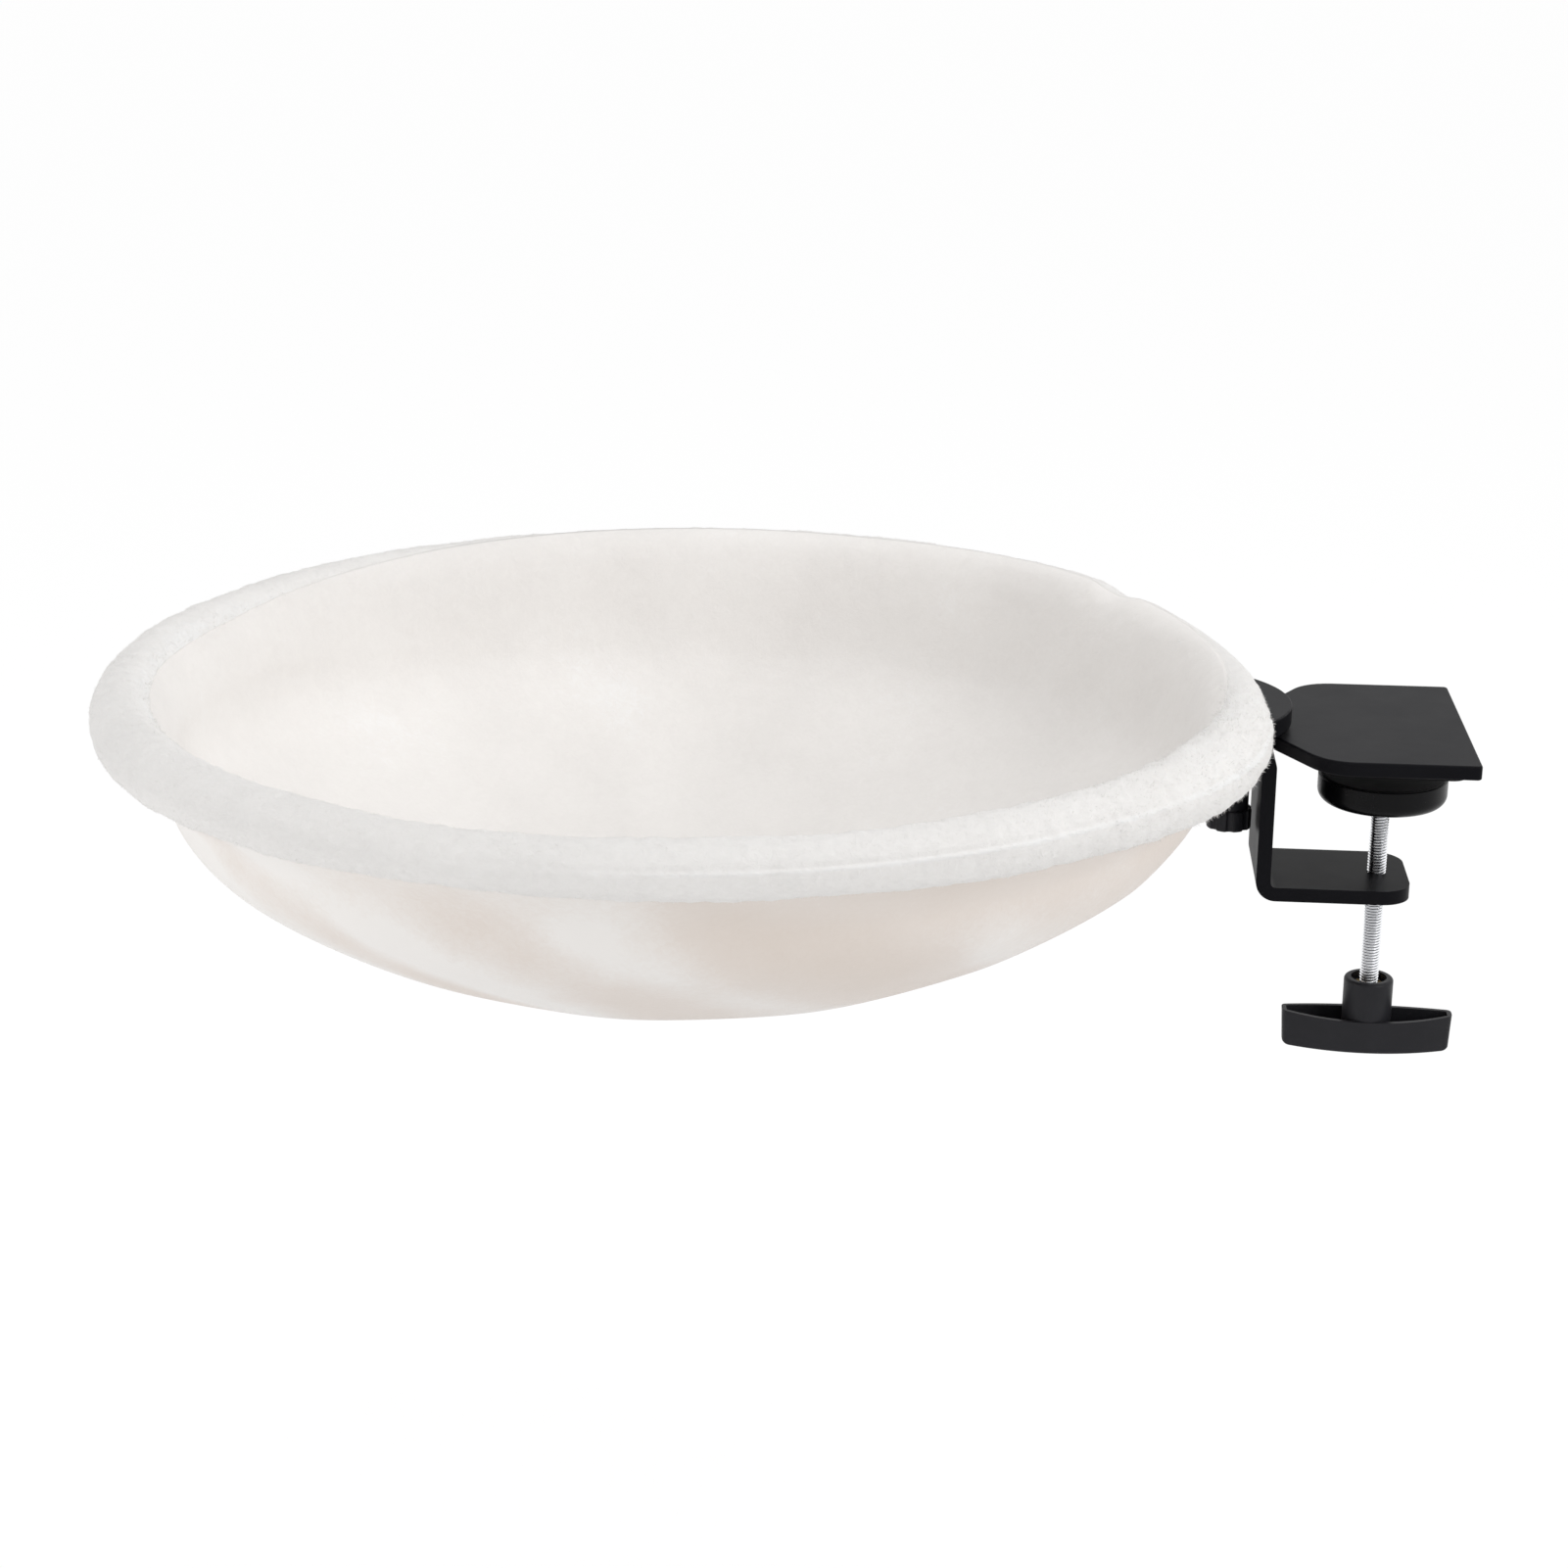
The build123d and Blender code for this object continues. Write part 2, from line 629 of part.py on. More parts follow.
# Foam roll round the tube, open over the saddle
with BuildPart() as rim_padding:
    with BuildSketch(hoop_plane(0)):
        with Locations((hoop_radius, hoop_height)):
            Circle(roll_radius - sleeve_thick)
            Circle(tube_radius, mode=Mode.SUBTRACT)
    revolve(axis=hoop_axis)
    with BuildSketch(hoop_plane(-hoop_angle(saddle_length / 2 + slack))):
        with Locations((hoop_radius, swivel_top - cut_over)):
            Rectangle(
                (saddle_half_width + slack) * 2,
                saddle_top - swivel_top + cut_over + slack,
                align=(Align.CENTER, Align.MIN),
            )
    revolve(axis=hoop_axis, revolution_arc=hoop_angle(saddle_length + slack * 2), mode=Mode.SUBTRACT)
rim_padding.part.label = "rim_padding"
export_step(rim_padding.part, "parts/rim_padding.step")

# Plush sleeve round the foam, slit over the saddle
with BuildPart() as rim_sleeve:
    with BuildSketch(hoop_plane(0)):
        with Locations((hoop_radius, hoop_height)):
            Circle(roll_radius)
            Circle(roll_radius - sleeve_thick, mode=Mode.SUBTRACT)
    revolve(axis=hoop_axis)
    with BuildSketch(hoop_plane(-hoop_angle(saddle_length / 2 + slack))):
        with Locations((hoop_radius, swivel_top - cut_over)):
            Rectangle(
                (saddle_half_width + slack) * 2,
                saddle_top - swivel_top + cut_over + slack,
                align=(Align.CENTER, Align.MIN),
            )
    revolve(axis=hoop_axis, revolution_arc=hoop_angle(saddle_length + slack * 2), mode=Mode.SUBTRACT)
rim_sleeve.part.label = "rim_sleeve"
export_step(rim_sleeve.part, "parts/rim_sleeve.step")

# Bowl walls: a stack of level rounds from the rim down to the flat bottom
bowl_radius = hoop_radius - roll_radius - bowl_gap * 2


def bowl_rounds(inset):
    """Radius and height of each round of the bowl's wall, moved inwards by an inset."""
    return [
        ((bowl_radius - inset) * r, hoop_height - (bowl_depth - inset) * d)
        for r, d in zip(bowl_radius_share, bowl_depth_share)
    ]


# Plush lining of the bowl
lining_inset = shell_thick + bowl_gap
with BuildPart() as bowl_liner:
    for radius, height in bowl_rounds(lining_inset):
        with BuildSketch(hoop_flat(height)):
            Circle(radius)
    loft()
    for radius, height in bowl_rounds(lining_inset + lining_thick):
        with BuildSketch(hoop_flat(height)):
            Circle(radius)
    loft(mode=Mode.SUBTRACT)
bowl_liner.part.label = "bowl_liner"
export_step(bowl_liner.part, "parts/bowl_liner.step")

# Outer fabric of the bowl, with its soft slanting folds
with BuildPart() as bowl_shell:
    for (radius, height), rise_share, depth_share in zip(bowl_rounds(0), fold_height_share, bowl_depth_share):
        rise = radius + fold_height * rise_share
        with BuildSketch(hoop_flat(height)):
            with BuildLine():
                for fold in range(fold_count):
                    start = radians(360 * fold / fold_count + fold_twist * depth_share**2)
                    middle = start + pi / fold_count
                    end = middle + pi / fold_count
                    ThreePointArc(
                        (radius * cos(start), radius * sin(start)),
                        (rise * cos(middle), rise * sin(middle)),
                        (radius * cos(end), radius * sin(end)),
                    )
            make_face()
    loft()
    for radius, height in bowl_rounds(shell_thick):
        with BuildSketch(hoop_flat(height)):
            Circle(radius)
    loft(mode=Mode.SUBTRACT)
bowl_shell.part.label = "bowl_shell"
export_step(bowl_shell.part, "parts/bowl_shell.step")

# Steel washer under the bracket's tab
with BuildPart() as pivot_washer:
    with BuildSketch(Plane.XY.offset(knob_top)):
        with Locations((pivot_x, 0)):
            Circle(lock_washer_radius)
            Circle(pivot_radius + running, mode=Mode.SUBTRACT)
    extrude(amount=lock_washer_thick)
pivot_washer.part.label = "pivot_washer"
export_step(pivot_washer.part, "parts/pivot_washer.step")

# Lock knob with a fluted head and a closed end
with BuildPart() as pivot_knob:
    with BuildSketch(Plane.XY.offset(knob_bottom)) as knob_outline:
        with Locations((pivot_x, 0)):
            Circle(knob_head_radius)
            with PolarLocations(knob_head_radius + knob_flute_radius - knob_flute_depth, knob_flute_count):
                Circle(knob_flute_radius, mode=Mode.SUBTRACT)
    extrude(amount=knob_head_height)
    fillet(pivot_knob.faces().filter_by(Axis.Z).edges(), edge_break)
    with BuildSketch(Plane.XY.offset(knob_bottom + knob_round)):
        with Locations((pivot_x, 0)):
            Circle(knob_neck_radius)
    extrude(amount=knob_height - knob_round)
    with BuildSketch(Plane.XY.offset(knob_bottom + knob_floor)):
        with Locations((pivot_x, 0)):
            Circle(pivot_radius + slack)
    extrude(amount=knob_height, mode=Mode.SUBTRACT)
    with BuildSketch(Plane.XY.offset(knob_top - knob_insert_sink)):
        with Locations((pivot_x, 0)):
            Circle(knob_insert_radius)
    extrude(amount=-knob_insert_height, mode=Mode.SUBTRACT)
pivot_knob.part.label = "pivot_knob"
export_step(pivot_knob.part, "parts/pivot_knob.step")

# Threaded insert of the knob
with BuildPart() as knob_insert:
    with BuildSketch(Plane.XY.offset(knob_top - knob_insert_sink)):
        with Locations((pivot_x, 0)):
            Circle(knob_insert_radius)
            Circle(pivot_radius + running, mode=Mode.SUBTRACT)
    extrude(amount=-knob_insert_height)
knob_insert.part.label = "knob_insert"
export_step(knob_insert.part, "parts/knob_insert.step")
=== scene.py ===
import bmesh
import bpy
import json
import math
import random
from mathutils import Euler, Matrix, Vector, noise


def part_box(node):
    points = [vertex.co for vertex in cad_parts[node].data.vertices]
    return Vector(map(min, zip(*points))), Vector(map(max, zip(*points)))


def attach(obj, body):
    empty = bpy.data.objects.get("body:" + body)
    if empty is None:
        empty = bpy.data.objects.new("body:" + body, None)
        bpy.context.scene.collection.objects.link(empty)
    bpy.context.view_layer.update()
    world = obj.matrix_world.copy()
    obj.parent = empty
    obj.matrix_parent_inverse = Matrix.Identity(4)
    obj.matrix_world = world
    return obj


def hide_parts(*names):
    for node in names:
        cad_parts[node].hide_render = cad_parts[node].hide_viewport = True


# Window cat hammock: plush bowl on a hoop, swivelling on a screw clamp. All lengths are in metres.
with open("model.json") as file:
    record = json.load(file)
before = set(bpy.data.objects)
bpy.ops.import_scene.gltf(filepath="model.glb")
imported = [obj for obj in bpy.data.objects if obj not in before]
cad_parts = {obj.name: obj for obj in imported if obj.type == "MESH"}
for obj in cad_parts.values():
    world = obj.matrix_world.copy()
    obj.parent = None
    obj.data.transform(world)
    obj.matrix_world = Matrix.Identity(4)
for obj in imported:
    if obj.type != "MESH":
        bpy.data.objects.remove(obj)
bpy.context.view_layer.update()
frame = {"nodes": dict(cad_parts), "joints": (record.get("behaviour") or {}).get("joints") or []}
mm = 0.001
tau = 2 * math.pi
white = (1, 1, 1, 1)

# Photograph's camera
photo_focal_px = 3000
photo_side_px = 1601
sensor_mm = 36
camera_place = (-0.1469, -1.1981, 0.3576)
camera_azimuth = 5.08
camera_pitch = 17.77
camera_roll = 0.36

# Hoop and bowl, taken from the frame
sleeve_low, sleeve_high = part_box("rim_sleeve")
hoop_centre = Vector(((sleeve_low[0] + sleeve_high[0]) / 2, (sleeve_low[1] + sleeve_high[1]) / 2, 0))
roll_radius = (sleeve_high[2] - sleeve_low[2]) / 2
hoop_height = (sleeve_high[2] + sleeve_low[2]) / 2
hoop_radius = (sleeve_high[0] - sleeve_low[0]) / 2 - roll_radius
pivot = next(Vector(j["pos_m"]) for j in frame["joints"] if j["name"] == "swivel")
rest_turn = math.atan2(pivot.y - hoop_centre.y, pivot.x - hoop_centre.x)
bowl_depth = hoop_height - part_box("bowl_shell")[0][2]

# Clamp screw
screw_low, screw_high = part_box("clamp_screw")
screw_radius = 4 * mm
thread_pitch = 1.25 * mm
thread_depth = 0.7 * mm


# Node helpers
def set_inputs(tree, node, inputs):
    """Sets a node's inputs to plain values, or links them to other nodes' outputs."""
    for key, value in inputs.items():
        if isinstance(value, bpy.types.NodeSocket):
            tree.links.new(value, node.inputs[key])
        else:
            node.inputs[key].default_value = value


def add_node(tree, kind, inputs, **settings):
    node = tree.nodes.new("ShaderNode" + kind)
    for key, value in settings.items():
        setattr(node, key, value)
    set_inputs(tree, node, inputs)
    return node


def new_material(name):
    mat = bpy.data.materials.new(name)
    mat.use_nodes = True
    return mat, mat.node_tree, mat.node_tree.nodes["Principled BSDF"]


def object_coords(tree, scale=(1, 1, 1)):
    """Object coordinates stretched by a scale."""
    coords = add_node(tree, "TexCoord", {}).outputs["Object"]
    return add_node(tree, "Mapping", {"Vector": coords, "Scale": scale}).outputs["Vector"]


def noise_value(tree, vector, scale, detail=3.0, roughness=0.55, distortion=0.0):
    inputs = {"Vector": vector, "Scale": scale, "Detail": detail}
    inputs.update({"Roughness": roughness, "Distortion": distortion})
    return add_node(tree, "TexNoise", inputs).outputs["Fac"]


def ramp(tree, value, stops):
    node = add_node(tree, "ValToRGB", {"Fac": value})
    while len(node.color_ramp.elements) < len(stops):
        node.color_ramp.elements.new(0.5)
    for element, (place, colour) in zip(node.color_ramp.elements, stops):
        element.position = place
        element.color = (*colour, 1)
    return node.outputs["Color"]


def grey(level):
    return level, level, level


def combine(tree, operation, a, b):
    return add_node(tree, "Math", {0: a, 1: b}, operation=operation).outputs[0]


def weighted_sum(tree, *terms):
    """Sum of values, each times its weight."""
    scaled = [combine(tree, "MULTIPLY", value, weight) for value, weight in terms]
    total = scaled[0]
    for value in scaled[1:]:
        total = combine(tree, "ADD", total, value)
    return total


def attribute(tree, name):
    return add_node(tree, "Attribute", {}, attribute_name=name).outputs["Fac"]


def bump(tree, height, strength, distance):
    inputs = {"Height": height, "Strength": strength, "Distance": distance}
    return add_node(tree, "Bump", inputs).outputs["Normal"]


def seen_directly(tree):
    """1 for what the camera, a reflection or glass shows, and 0 for what only lights the object."""
    rays = add_node(tree, "LightPath", {}).outputs
    seen = combine(tree, "MAXIMUM", rays["Is Camera Ray"], rays["Is Glossy Ray"])
    return combine(tree, "MAXIMUM", seen, rays["Is Transmission Ray"])


# Materials
def powder_steel():
    """Satin black powder coat with a very fine grain."""
    mat, tree, shader = new_material("powder_steel")
    vector = object_coords(tree)
    blotch = noise_value(tree, vector, scale=60)
    grain = noise_value(tree, vector, scale=2600, detail=2)
    set_inputs(tree, shader, {
        "Base Color": ramp(tree, blotch, [(0.3, (0.0042, 0.0042, 0.0056)), (0.7, (0.0052, 0.0053, 0.0068))]),
        "Roughness": ramp(tree, blotch, [(0.25, grey(0.42)), (0.75, grey(0.46))]),
        "Specular IOR Level": 0.06,
        "Normal": bump(tree, grain, strength=0.12, distance=0.05 * mm),
    })
    return mat


def moulded_plastic(name, colour, roughness, gloss, grain_scale=1500):
    """Fine-grained plastic or rubber, slightly clouded."""
    cloud_shade = 0.86
    cloud_roughness = 0.05
    mat, tree, shader = new_material(name)
    vector = object_coords(tree)
    cloud = noise_value(tree, vector, scale=90)
    grain = noise_value(tree, vector, scale=grain_scale, detail=2)
    dark = tuple(c * cloud_shade for c in colour)
    low, high = roughness - cloud_roughness, roughness + cloud_roughness
    set_inputs(tree, shader, {
        "Base Color": ramp(tree, cloud, [(0.3, dark), (0.7, colour)]),
        "Roughness": ramp(tree, cloud, [(0.3, grey(low)), (0.7, grey(high))]),
        "Specular IOR Level": gloss,
        "Normal": bump(tree, grain, strength=0.2, distance=0.06 * mm),
    })
    return mat


def zinc_steel():
    """Bright zinc plate, slightly clouded."""
    mat, tree, shader = new_material("zinc_steel")
    cloud = noise_value(tree, object_coords(tree, (1, 1, 3)), scale=240)
    set_inputs(tree, shader, {
        "Base Color": ramp(tree, cloud, [(0.3, (0.62, 0.63, 0.65)), (0.7, (0.8, 0.81, 0.82))]),
        "Roughness": ramp(tree, cloud, [(0.3, grey(0.28)), (0.7, grey(0.38))]),
        "Metallic": 1.0,
    })
    return mat


def thread_zinc():
    """Zinc plate of the clamp screw, with painted shade: dark thread roots against bright crests, by the
    distance from its axis.
    """
    mat, tree, shader = new_material("zinc_thread_painted_shade")
    reach = add_node(tree, "VectorMath", {0: object_coords(tree, (1, 1, 0))}, operation="LENGTH")
    # Painted shade: the colour darkens from the crests down into the thread's roots
    above_root = combine(tree, "SUBTRACT", reach.outputs["Value"], screw_radius - thread_depth)
    share = combine(tree, "DIVIDE", above_root, thread_depth)
    set_inputs(tree, shader, {
        "Base Color": ramp(tree, share, [(0.05, (0.12, 0.12, 0.13)), (0.45, (0.95, 0.96, 0.98))]),
        "Roughness": 0.22,
        "Metallic": 1.0,
    })
    return mat


def brass():
    mat, tree, shader = new_material("brass_insert")
    cloud = noise_value(tree, object_coords(tree), scale=300)
    set_inputs(tree, shader, {
        "Base Color": ramp(tree, cloud, [(0.3, (0.55, 0.4, 0.17)), (0.7, (0.68, 0.51, 0.24))]),
        "Roughness": 0.32,
        "Metallic": 1.0,
    })
    return mat


def foam():
    """Open-cell foam, with painted shade in its pores."""
    mat, tree, shader = new_material("foam")
    cells = add_node(tree, "TexVoronoi", {"Vector": object_coords(tree), "Scale": 900}).outputs["Distance"]
    # Painted shade: darker colour at the cell centres, where the pores sink in
    set_inputs(tree, shader, {
        "Base Color": ramp(tree, cells, [(0.1, (0.62, 0.59, 0.5)), (0.6, (0.84, 0.81, 0.73))]),
        "Roughness": 0.95,
        "Normal": bump(tree, cells, strength=0.5, distance=0.4 * mm),
    })
    return mat


def plush(name, light, dark, pile_bump):
    """Short-pile plush: brushed patches, tufts, a lighter hem, a painted highlight beside the rim's crease
    and a soft sheen.
    """
    bright = (0.93, 0.93, 0.925)
    mat, tree, shader = new_material(name)
    vector = object_coords(tree)
    patches = noise_value(tree, vector, scale=14)
    tufts = noise_value(tree, vector, scale=300, detail=4, roughness=0.65, distortion=1.2)
    pile_grain = noise_value(tree, vector, scale=1300, roughness=0.7, distortion=2.0)
    # The rim's tone attribute carries its paler stretch, its lighter hem and a painted highlight beside the
    # crease
    tone = weighted_sum(tree, (patches, 0.62), (tufts, 0.38), (attribute(tree, "paleness_and_painted_highlight"), 0.3))
    height = weighted_sum(tree, (tufts, 1.0), (pile_grain, 0.6))
    set_inputs(tree, shader, {
        "Base Color": ramp(tree, tone, [(0.36, dark), (0.6, light), (0.85, bright)]),
        "Roughness": 0.92,
        "Sheen Weight": 0.3,
        "Sheen Roughness": 0.45,
        "Normal": bump(tree, height, strength=pile_bump, distance=0.9 * mm),
    })
    return mat


def shell_fabric():
    """Brushed outer cloth, warm and smooth, with a fine weave; its fold attribute paints highlight on the
    ridges of its folds, shade in their hollows, and light on one side.
    """
    tones = [(0.28, (0.73, 0.655, 0.595)), (0.45, (0.77, 0.705, 0.655)), (0.64, (0.86, 0.835, 0.81))]
    mat, tree, shader = new_material("shell_fabric")
    vector = object_coords(tree)
    patches = noise_value(tree, vector, scale=9)
    nap = noise_value(tree, vector, scale=420, detail=4, roughness=0.6, distortion=0.8)
    weave = noise_value(tree, object_coords(tree, (1, 1, 2.2)), scale=1700, detail=2, roughness=0.5)
    # Painted highlight and shade: paler on the fold ridges and darker in their hollows, plus painted light on
    # one side
    tone = weighted_sum(tree, (patches, 0.75), (nap, 0.15), (attribute(tree, "fold"), 0.16))
    height = weighted_sum(tree, (nap, 0.7), (weave, 0.5))
    set_inputs(tree, shader, {
        "Base Color": ramp(tree, tone, tones),
        "Roughness": 0.88,
        "Sheen Weight": 0.25,
        "Sheen Roughness": 0.5,
        "Normal": bump(tree, height, strength=0.25, distance=0.4 * mm),
    })
    return mat


steel = powder_steel()
zinc = zinc_steel()
gold = brass()
handle_plastic = moulded_plastic("handle_plastic", (0.0165, 0.0165, 0.0195), roughness=0.42, gloss=0.16)
pad_plastic = moulded_plastic("pad_plastic", (0.0028, 0.0028, 0.0034), roughness=0.28, gloss=0.12)
black_rubber = moulded_plastic("black_rubber", (0.005, 0.005, 0.0056), roughness=0.72, gloss=0.15,
                               grain_scale=900)
bush_plastic = moulded_plastic("bush_plastic", (0.66, 0.64, 0.58), roughness=0.45, gloss=0.5)
rim_plush = plush("rim_plush", light=(0.905, 0.888, 0.87), dark=(0.855, 0.838, 0.82), pile_bump=0.6)
bowl_plush = plush("bowl_plush", light=(0.875, 0.851, 0.828), dark=(0.83, 0.805, 0.782), pile_bump=0.3)

node_materials = {
    "clamp_plate": steel, "clamp_bracket": steel, "swivel_plate": steel, "hoop_saddle": steel,
    "hoop_tube_clamp_side": steel, "hoop_tube_far_side": steel,
    "jaw_liner": black_rubber, "pad_rubber": black_rubber, "pad_cup": pad_plastic,
    "t_handle": handle_plastic, "pivot_knob": handle_plastic,
    "handle_insert": gold, "knob_insert": gold,
    "pivot_bush": bush_plastic, "friction_washer": bush_plastic,
    "bracket_screws": zinc, "pad_retainer": zinc, "pivot_bolt": zinc, "saddle_screws": zinc,
    "hoop_ferrules": zinc, "ferrule_screws": zinc, "pivot_washer": zinc,
}
for node_name, node_material in node_materials.items():
    for material_slot in frame["nodes"][node_name].material_slots:
        material_slot.material = node_material


# Mesh helpers
weld_distance = 1e-6


def add_object(name, data):
    obj = bpy.data.objects.new(name, data)
    bpy.context.scene.collection.objects.link(obj)
    return obj


def mesh_object(name, points, faces, material):
    mesh = bpy.data.meshes.new(name)
    mesh.from_pydata(points, [], faces)
    mesh.update()
    mesh.materials.append(material)
    return add_object(name, mesh)


def ring_mesh(name, rows, material):
    """Joins rows of points into a smooth quad mesh that closes both ways."""
    count = len(rows[0])
    faces = []
    for i in range(len(rows)):
        row, next_row = i * count, (i + 1) % len(rows) * count
        for j in range(count):
            k = (j + 1) % count
            faces.append((row + j, row + k, next_row + k, next_row + j))
    obj = mesh_object(name, [p for row in rows for p in row], faces, material)
    obj.data.polygons.foreach_set("use_smooth", [True] * len(faces))
    return obj


def add_values(obj, name, values):
    """One number for each point, for the materials."""
    layer = obj.data.attributes.new(name, "FLOAT", "POINT")
    layer.data.foreach_set("value", values)


def close_poles(obj):
    """Joins the points that meet at the middle of the floor."""
    work = bmesh.new()
    work.from_mesh(obj.data)
    bmesh.ops.remove_doubles(work, verts=work.verts, dist=weld_distance)
    work.to_mesh(obj.data)
    work.free()


# Shape helpers; a turn runs round the hoop from the clamp's side
def bell(turn, centre, width):
    """Smooth bell, 1 at its centre and 0 a width away from it; centre and width in degrees."""
    gap = abs((math.degrees(turn) - centre + 180) % 360 - 180) / width
    return 0.0 if gap >= 1 else (1 + math.cos(math.pi * gap)) / 2


def bell_sum(turn, bells):
    """Sum of bells, each a height, a centre and a half-width."""
    return sum(height * bell(turn, centre, width) for height, centre, width in bells)


def tallest(turn, bells):
    """Height of the tallest of several bells, each a centre and a half-width."""
    return max(bell(turn, centre, width) for centre, width in bells)


def hump(value, centre, spread):
    """Endless smooth hump, 1 at its centre."""
    return math.exp(-((value - centre) / spread) ** 2)


def mix(a, b, share):
    return a + (b - a) * share


def wobble(point, scale, seed):
    """Smooth noise from -1 to 1."""
    return noise.noise(Vector((point.x * scale + seed, point.y * scale - seed, point.z * scale + seed * 0.5)))


def hoop_point(turn, reach, height):
    """A point at a turn round the hoop, at a reach from its axis."""
    return Vector((hoop_centre.x + reach * math.cos(rest_turn + turn),
                   hoop_centre.y + reach * math.sin(rest_turn + turn), height))


# Bulges and hollows of the roll: height in millimetres, then centre and half-width in degrees
roll_trim = 1.1 * mm
roll_spread = 2.0 * mm
lining_overlap = 2.5 * mm
outward_bulges = ((-3.3, 166, 46), (-8.6, -3, 46), (3.2, -40, 26))
upward_bulges = ((1.2, 95, 70), (-2.2, -98, 100), (-6.2, 0, 38), (-2.6, 23, 5))
downward_bulges = ((-2.9, -110, 75), (1.2, -40, 30))

# Where the hem shows, and where the lining runs over the roll: centre and half-width in degrees
hem_stretches = ((-75, 55), (-35, 35))
lining_stretches = ((45, 75), (75, 75), (15, 40))
lining_power = 0.6


def crease_share(turn):
    """1 where the roll stands clear of the lining, 0 where the lining runs over it."""
    return 1 - tallest(turn, lining_stretches) ** lining_power


def roll_place(turn, side, grow=0.0):
    """Reach and height on the roll; side runs from its outermost line over the top."""
    base = roll_radius - roll_trim
    across, rise = math.cos(side), math.sin(side)
    if across > 0:
        wide = base + roll_spread + mm * bell_sum(turn, outward_bulges)
    else:
        wide = base - lining_overlap * (1 - crease_share(turn))
    tall = base + mm * bell_sum(turn, upward_bulges if rise > 0 else downward_bulges)
    return hoop_radius + (wide + grow) * across, hoop_height + (tall + grow) * rise


# Lumps and tufts of the plush
lump_height = 0.8 * mm
lump_scale, small_lump_scale = 16, 38
lump_seed, small_lump_seed = 3.1, 7.7
small_lump_share = 0.6
tuft_height = 0.5 * mm
tuft_scale, small_tuft_scale = 150, 330
tuft_seed, small_tuft_seed = 1.3, 5.9
small_tuft_share = 0.8


def swell(point):
    small = small_lump_share * wobble(point, small_lump_scale, small_lump_seed)
    return lump_height * (wobble(point, lump_scale, lump_seed) + small)


def pile(point):
    small = small_tuft_share * wobble(point, small_tuft_scale, small_tuft_seed)
    return tuft_height * (wobble(point, tuft_scale, tuft_seed) + small)


# Padded rim: a plush sleeve over a foam roll
rim_turns = 1400
rim_sides = 70
tuft_growth = ((0.9, -38, 40), (-0.8, 5, 40))

# Hem: a lip beside a groove along the roll, counted in half-widths of the hem
hem_side = math.radians(19)
hem_half = math.radians(5)
hem_lip = 0.7 * mm
hem_lip_place = -0.6
hem_groove_place = 0.9
hem_groove_share = 0.8
hem_tone_place = -0.3
hem_tone_spread = math.sqrt(2 / 3)

# Paler plush: a paler stretch of the rim, and a painted highlight on the roll's inner side beside the crease
paler_stretch_tone = ((0.5, -38, 45),)
crease_highlight_tone = 0.9
edge_side = math.radians(150)
edge_spread = math.radians(38)


def rim_point(turn, side):
    """A point of the plush roll, with its lumps, tufts and hem, and how pale it is there, painted highlight
    included.
    """
    reach, height = roll_place(turn, side)
    point = hoop_point(turn, reach, height)
    out = (point - hoop_point(turn, hoop_radius, hoop_height)).normalized()
    fluffy = 1 + bell_sum(turn, tuft_growth)
    hem = tallest(turn, hem_stretches)
    step = ((side - hem_side + math.pi) % tau - math.pi) / hem_half
    lip = hump(step, hem_lip_place, 1) - hem_groove_share * hump(step, hem_groove_place, 1)
    lift = swell(point) * min(1, fluffy) + pile(point) * fluffy + hem_lip * hem * lip
    # Painted highlight: the roll's inner side paler beside the crease, where the roll stands clear of the
    # lining
    painted_edge_highlight = crease_highlight_tone * crease_share(turn) * hump(side, edge_side, edge_spread)
    pale = max(bell_sum(turn, paler_stretch_tone), painted_edge_highlight) + hem * hump(step, hem_tone_place, hem_tone_spread)
    return point + out * lift, pale


rim_rows, rim_tones = [], []
for i in range(rim_turns):
    ring = [rim_point(tau * i / rim_turns, tau * j / rim_sides) for j in range(rim_sides)]
    rim_rows.append([point for point, pale in ring])
    rim_tones += [pale for point, pale in ring]
sleeve = ring_mesh("plush_rim", rim_rows, rim_plush)
add_values(sleeve, "paleness_and_painted_highlight", rim_tones)
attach(sleeve, "hammock")
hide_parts("rim_sleeve")

foam_turns = 360
foam_sides = 24
foam_inset = 2.2 * mm
foam_rows = []
for i in range(foam_turns):
    turn = tau * i / foam_turns
    places = [roll_place(turn, tau * j / foam_sides, -foam_inset) for j in range(foam_sides)]
    foam_rows.append([hoop_point(turn, reach, height) for reach, height in places])
foam_roll = ring_mesh("foam_roll", foam_rows, foam())
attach(foam_roll, "hammock")
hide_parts("rim_padding")

# Pile of the rim: short slanting fibres, each a thin closed spike with three corners at its root
fibre_count = 36000
fibre_width = 0.12 * mm
fibre_length = 1.25 * mm
fibre_length_shares = (0.6, 1.25)
fibre_sides = (-0.45 * math.pi, 0.85 * math.pi)
fibre_growth = ((0.6, -38, 45), (-0.75, 8, 40))
crease_growth = 0.8
fibre_sink = 0.5 * mm
fibre_rise = 0.75
fibre_lean = 1.1
fibre_scatter = 0.5
lean_scale = 70
lean_seed, droop_seed = 2.6, 8.8
spike_twist = 0.3
spike_corner_shares = ((1, 0), (-0.5, 0.87), (-0.5, -0.87))
spike_faces = ((0, 1, 3), (1, 2, 3), (2, 0, 3), (2, 1, 0))
draw = random.Random(7)


def drawn_lean(foot, seed):
    """A lean that neighbouring fibres share, and a scatter of their own."""
    return fibre_lean * wobble(foot, lean_scale, seed) + draw.uniform(-fibre_scatter, fibre_scatter)


